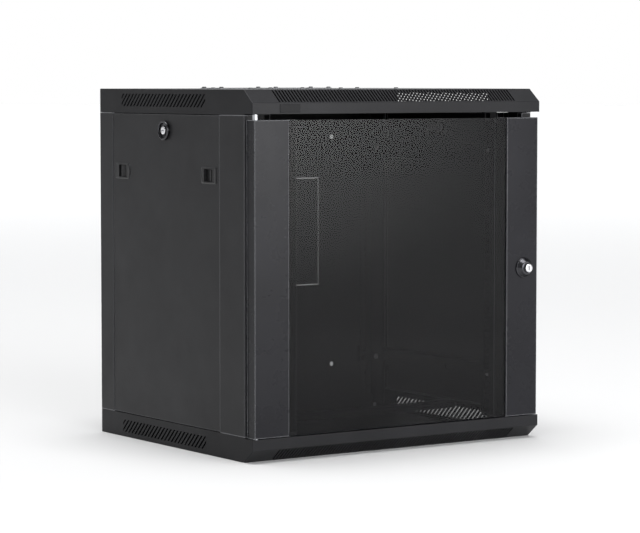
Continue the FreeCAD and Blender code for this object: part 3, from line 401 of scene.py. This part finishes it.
def side_latch_pieces(side, word, end, end_word):
    """A slide latch: bezel with an arrow-shaped inner end and a rimmed window, and its finger slider."""
    frame_node, bolt_node = f"side_latch_frame_{end_word}_{word}", f"side_latch_bolt_{end_word}_{word}"
    low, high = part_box(frame_node)
    panel_low, panel_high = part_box(f"side_panel_{word}")
    skin = panel_low.x if side < 0 else panel_high.x
    middle = (low + high) / 2
    half_long, half_tall = (high.y - low.y) / 2, (high.z - low.z) / 2
    reach = high.x - skin if side > 0 else skin - low.x

    def place(along, up, level):
        """A point from millimetres towards the panel's edge, up, and out of the skin."""
        return Vector((skin + side * level, middle.y + end * along, middle.z + up))

    def sides(long_out, long_in, tall, point):
        return [(long_out, -tall), (long_out, tall), (-long_in, tall), (-long_in - point, 0),
                (-long_in, -tall)]

    tip = 3.5 * MM
    well = 8.6 * MM
    window_long, window_tall = 14 * MM, 10.5 * MM
    bezel = bmesh.new()
    outer = sides(half_long, half_long - tip, half_tall, tip)
    eased = sides(half_long - 0.7 * MM, half_long - tip - 0.7 * MM, half_tall - 0.7 * MM, tip)
    lip = sides(half_long - 1.8 * MM, half_long - tip - 1.8 * MM, half_tall - 1.8 * MM, tip)
    dip = sides(half_long - 2.4 * MM, half_long - tip - 2.4 * MM, half_tall - 2.2 * MM, tip)
    rim_foot = sides(window_long + 2.0 * MM, window_long + 2.0 * MM, window_tall + 1.4 * MM, 0)
    rim_out = sides(window_long + 1.5 * MM, window_long + 1.5 * MM, window_tall + 1.1 * MM, 0)
    rim_in = sides(window_long + 0.5 * MM, window_long + 0.5 * MM, window_tall + 0.4 * MM, 0)
    window = sides(window_long, window_long, window_tall, 0)
    back = sides(half_long - 2 * MM, half_long - 2 * MM, half_tall - 2 * MM, 0)
    ease, small = 2.2 * MM, 0.8 * MM
    skin_paths(bezel, place, [
        (corner_path(back, small), -9.2 * MM), (corner_path(back, small), 0.0),
        (corner_path(outer, ease), 0.0), (corner_path(outer, ease), reach - 0.6 * MM),
        (corner_path(eased, ease), reach), (corner_path(lip, ease), reach),
        (corner_path(dip, ease), reach - 0.8 * MM), (corner_path(rim_foot, small), reach - 0.8 * MM),
        (corner_path(rim_out, small), reach + 0.1 * MM), (corner_path(rim_in, small), reach + 0.1 * MM),
        (corner_path(window, small), reach - 0.5 * MM), (corner_path(window, small), -well)])
    finish_piece(f"side_latch_bezel_{end_word}_{word}", bezel, FINISHES["black_plastic"],
                 f"side_panel_{word}", [frame_node])

    slider = bmesh.new()
    slope = [(7.2 * MM, -0.4 * MM), (5.4 * MM, -0.3 * MM), (1.6 * MM, -4.8 * MM), (-13.6 * MM, -5.2 * MM),
             (-13.6 * MM, -8.0 * MM), (7.2 * MM, -8.0 * MM), (7.4 * MM, -8.0 * MM), (33.4 * MM, -8.0 * MM),
             (33.4 * MM, -5.4 * MM), (7.4 * MM, -5.4 * MM), (7.2 * MM, -5.4 * MM)]
    walls = []
    for tall in (-1, 1):
        edge = []
        for along, level in slope:
            half = 6 * MM if along > 7.3 * MM else window_tall - 0.5 * MM
            edge.append(slider.verts.new(place(along, tall * half, level)))
        walls.append(edge)
    for index in range(len(slope)):
        after = (index + 1) % len(slope)
        slider.faces.new((walls[0][index], walls[0][after], walls[1][after], walls[1][index]))
    slider.faces.new(walls[0][::-1])
    slider.faces.new(walls[1])
    finish_piece(f"side_latch_slider_{end_word}_{word}", slider, FINISHES["black_plastic"],
                 f"side_latch_{end_word}_{word}", [bolt_node], bevel=0.3 * MM)


for side, word in ((-1, "left"), (1, "right")):
    side_lock_pieces(side, word)
    for end, end_word in ((-1, "front"), (1, "rear")):
        side_latch_pieces(side, word, end, end_word)


# ---------------------------------------------------------------- screws

def screw_piece(name, body, axis, material):
    """Pan-head screws with a cross recess, one for each solid of a CAD node of screws."""
    mesh = nodes[name].data
    axis = Vector(axis)
    bm = bmesh.new()
    for spots in solids_of(mesh):
        low = Vector([min(s[k] for s in spots) for k in range(3)])
        high = Vector([max(s[k] for s in spots) for k in range(3)])
        middle = (low + high) / 2
        long_way = max(range(3), key=lambda k: abs(axis[k]))
        across = [k for k in range(3) if k != long_way]
        head_r = (high[across[0]] - low[across[0]]) / 2
        length = high[long_way] - low[long_way]
        base = middle - axis * length / 2
        shank = [s for s in spots if (Vector(s) - base).dot(axis) < length * 0.2]
        shank_r = max((Vector(s) - middle)[across[0]] for s in shank)
        head = 2.2 * MM
        sections = [(disc(shank_r * 0.7), 0.0), (disc(shank_r), 0.6 * MM), (disc(shank_r), length - head),
                    (disc(head_r), length - head + 0.02 * MM), (disc(head_r), length - 1.3 * MM),
                    (disc(head_r * 0.94), length - 0.6 * MM), (disc(head_r * 0.80), length - 0.15 * MM),
                    (disc(head_r * 0.62), length), (cross(head_r * 0.5, head_r * 0.14), length - 0.02 * MM),
                    (cross(head_r * 0.34, head_r * 0.11), length - 1.4 * MM)]
        loft(bm, base, axis, sections, up=(0, 0, 1) if long_way != 2 else (0, 1, 0), count=64)
    return finish_piece(name + "_heads", bm, material, body, [name])


def solids_of(mesh):
    """The vertex places of each separate solid in a mesh, welded by place."""
    keys, parent = {}, []
    label = []
    for vertex in mesh.vertices:
        key = tuple(round(part * 1e5) for part in vertex.co)
        if key not in keys:
            keys[key] = len(parent)
            parent.append(len(parent))
        label.append(keys[key])

    def root(index):
        while parent[index] != index:
            parent[index] = parent[parent[index]]
            index = parent[index]
        return index

    for polygon in mesh.polygons:
        first = root(label[polygon.vertices[0]])
        for vertex in polygon.vertices[1:]:
            parent[root(label[vertex])] = first
    groups = {}
    for vertex in mesh.vertices:
        groups.setdefault(root(label[vertex.index]), []).append(tuple(vertex.co))
    return [groups[key] for key in sorted(groups)]


screw_piece("plate_screws_top", "frame", (0, 0, 1), PAINT)
screw_piece("fan_screws_top", "frame", (0, 0, 1), PAINT)


# ---------------------------------------------------------------- edges of the CAD nodes

for name, node in nodes.items():
    if name.startswith(("front_post", "rear_post", "depth_bracket", "mount_rail", "cross_brace",
                        "cable_plate", "hinge_bracket", "side_lock_cam", "door_lock_cam")):
        add_bevel(node, 0.5 * MM)


# ---------------------------------------------------------------- floor, lights and camera

def floor():
    """A wide pale floor that grows a little paler with distance: the darker grey near the middle is painted
    shade.
    """
    bm = bmesh.new()
    bmesh.ops.create_circle(bm, cap_ends=True, segments=96, radius=60)
    mesh = bpy.data.meshes.new("floor")
    bm.to_mesh(mesh)
    bm.free()
    ground = bpy.data.objects.new("floor", mesh)
    bpy.context.scene.collection.objects.link(ground)
    material, tree, shader, add = blank("pale floor")
    place = add("ShaderNodeTexCoord").outputs["Object"]
    away = add("ShaderNodeVectorMath", {0: place}, operation="LENGTH").outputs["Value"]
    near = add("ShaderNodeMapRange", {"Value": away, "From Min": 1.0, "From Max": 9.0})
    tone = add("ShaderNodeMix", data_type="RGBA")
    tree.links.new(near.outputs["Result"], tone.inputs["Factor"])
    # painted shade: 0.62 grey within a metre of the middle, rising to 0.86 at nine metres
    tone.inputs[6].default_value = (0.62, 0.62, 0.62, 1)
    tone.inputs[7].default_value = (0.86, 0.86, 0.86, 1)
    tree.links.new(tone.outputs[2], shader.inputs["Base Color"])
    shader.inputs["Roughness"].default_value = 0.9
    shader.inputs["Specular IOR Level"].default_value = 0.1
    mesh.materials.append(material)


def area_light(name, place, aim, size, watts):
    """A soft rectangular studio light that points at a spot."""
    data = bpy.data.lights.new(name, "AREA")
    data.shape = "RECTANGLE"
    data.size, data.size_y = size
    data.energy = watts
    light = bpy.data.objects.new(name, data)
    bpy.context.scene.collection.objects.link(light)
    light.location = place
    light.rotation_mode = "QUATERNION"
    light.rotation_quaternion = (Vector(aim) - Vector(place)).to_track_quat("-Z", "Y")


def gradient_box(name, low, high, strength):
    """A soft box that faces the door, bright at its upper left and fading to the right and downwards."""
    data = bpy.data.lights.new(name, "AREA")
    data.shape = "RECTANGLE"
    data.size, data.size_y = high[0] - low[0], high[2] - low[2]
    area = data.size * data.size_y
    data.energy = strength * math.pi * area
    data.use_nodes = True
    tree = data.node_tree
    place = tree.nodes.new("ShaderNodeNewGeometry").outputs["Parametric"]
    parts = tree.nodes.new("ShaderNodeSeparateXYZ")
    tree.links.new(place, parts.inputs[0])
    fades = []
    for axis, full, none in ((0, BOX_FULL_X, BOX_NONE_X), (1, BOX_FULL_Z, BOX_NONE_Z)):
        fade = tree.nodes.new("ShaderNodeMapRange")
        tree.links.new(parts.outputs[axis], fade.inputs["Value"])
        fade.inputs["From Min"].default_value = none
        fade.inputs["From Max"].default_value = full
        fades.append(fade.outputs["Result"])
    product = tree.nodes.new("ShaderNodeMath")
    product.operation = "MULTIPLY"
    for index, fade in enumerate(fades):
        tree.links.new(fade, product.inputs[index])
    kept = tree.nodes.new("ShaderNodeMath")
    kept.operation = "MAXIMUM"
    tree.links.new(product.outputs[0], kept.inputs[0])
    kept.inputs[1].default_value = BOX_LEAST
    tree.links.new(kept.outputs[0], tree.nodes["Emission"].inputs["Strength"])
    light = bpy.data.objects.new(name, data)
    bpy.context.scene.collection.objects.link(light)
    light.location = (Vector(low) + Vector(high)) / 2
    light.rotation_mode = "QUATERNION"
    light.rotation_quaternion = Vector((0, 1, 0)).to_track_quat("-Z", "Y")


def sun(name, strength, spread_deg):
    """A soft light from straight above that pales the floor."""
    data = bpy.data.lights.new(name, "SUN")
    data.energy = strength
    data.angle = math.radians(spread_deg)
    light = bpy.data.objects.new(name, data)
    bpy.context.scene.collection.objects.link(light)
    light.location = (0, 0, 5)


def studio():
    """White surroundings for the eye, and a graded studio for what the surfaces mirror."""
    world = bpy.data.worlds.new("studio")
    bpy.context.scene.world = world
    world.use_nodes = True
    tree = world.node_tree
    for node in list(tree.nodes):
        tree.nodes.remove(node)
    add = node_adder(tree)
    way = add("ShaderNodeTexCoord").outputs["Generated"]
    unit = add("ShaderNodeVectorMath", {0: way}, operation="NORMALIZE").outputs["Vector"]
    total = None
    for azimuth, elevation, width, strength in GLOWS:
        a, e = math.radians(azimuth), math.radians(elevation)
        toward = (math.sin(a) * math.cos(e), -math.cos(a) * math.cos(e), math.sin(e))
        facing = add("ShaderNodeVectorMath", {0: unit, 1: toward}, operation="DOT_PRODUCT").outputs["Value"]
        held = add("ShaderNodeMath", {0: facing, 1: 0.0}, operation="MAXIMUM").outputs["Value"]
        power = 1 / math.radians(width) ** 2
        lobe = add("ShaderNodeMath", {0: held, 1: power}, operation="POWER").outputs["Value"]
        scaled = add("ShaderNodeMath", {0: lobe, 1: strength}, operation="MULTIPLY").outputs["Value"]
        total = scaled if total is None else add(
            "ShaderNodeMath", {0: total, 1: scaled}, operation="ADD").outputs["Value"]
    total = add("ShaderNodeMath", {0: total, 1: AMBIENT}, operation="ADD").outputs["Value"]
    graded = add("ShaderNodeBackground", {"Strength": total})
    graded.inputs["Color"].default_value = (0.97, 0.98, 1.0, 1)
    seen = add("ShaderNodeBackground", {"Strength": 1.0})
    seen.inputs["Color"].default_value = (1.0, 1.0, 1.0, 1)
    mixed = add("ShaderNodeMixShader")
    tree.links.new(add("ShaderNodeLightPath").outputs["Is Camera Ray"], mixed.inputs[0])
    tree.links.new(graded.outputs[0], mixed.inputs[1])
    tree.links.new(seen.outputs[0], mixed.inputs[2])
    tree.links.new(mixed.outputs[0], add("ShaderNodeOutputWorld").inputs["Surface"])


# parts of the soft box's width and height at which it is fully bright and fully dark
BOX_FULL_X, BOX_NONE_X = 0.60, 0.95
BOX_FULL_Z, BOX_NONE_Z = 0.37, 0.0
BOX_LEAST = 0.13
AMBIENT = 0.34
# azimuth and elevation of each glow in degrees, its width in degrees, and its strength
GLOWS = [(-8, 12, 10, 9.0), (150, 6, 34, 0.7)]

floor()
studio()
area_light("overhead", (-0.6, 0.6, 3.2), (0, 0, 0.3), (2.6, 2.6), 42)
gradient_box("front box", (-0.4, -2.3, 0.0), (2.1, -2.3, 1.5), 5.5)
sun("floor light", 2.2, 40)

CAMERA_PLACE = Vector((-2.6256, -3.8475, 0.6313))
CAMERA_AZIMUTH, CAMERA_ELEVATION = math.radians(-34.3534), math.radians(4.0701)
eye = bpy.data.objects.new("camera", bpy.data.cameras.new("camera"))
bpy.context.scene.collection.objects.link(eye)
eye.data.lens = 147.92
eye.data.sensor_width = 36
eye.location = CAMERA_PLACE
back = Vector((math.sin(CAMERA_AZIMUTH) * math.cos(CAMERA_ELEVATION),
               -math.cos(CAMERA_AZIMUTH) * math.cos(CAMERA_ELEVATION), math.sin(CAMERA_ELEVATION)))
eye.rotation_mode = "QUATERNION"
eye.rotation_quaternion = (-back).to_track_quat("-Z", "Y")
bpy.context.scene.camera = eye
bpy.context.scene.view_settings.view_transform = "Standard"
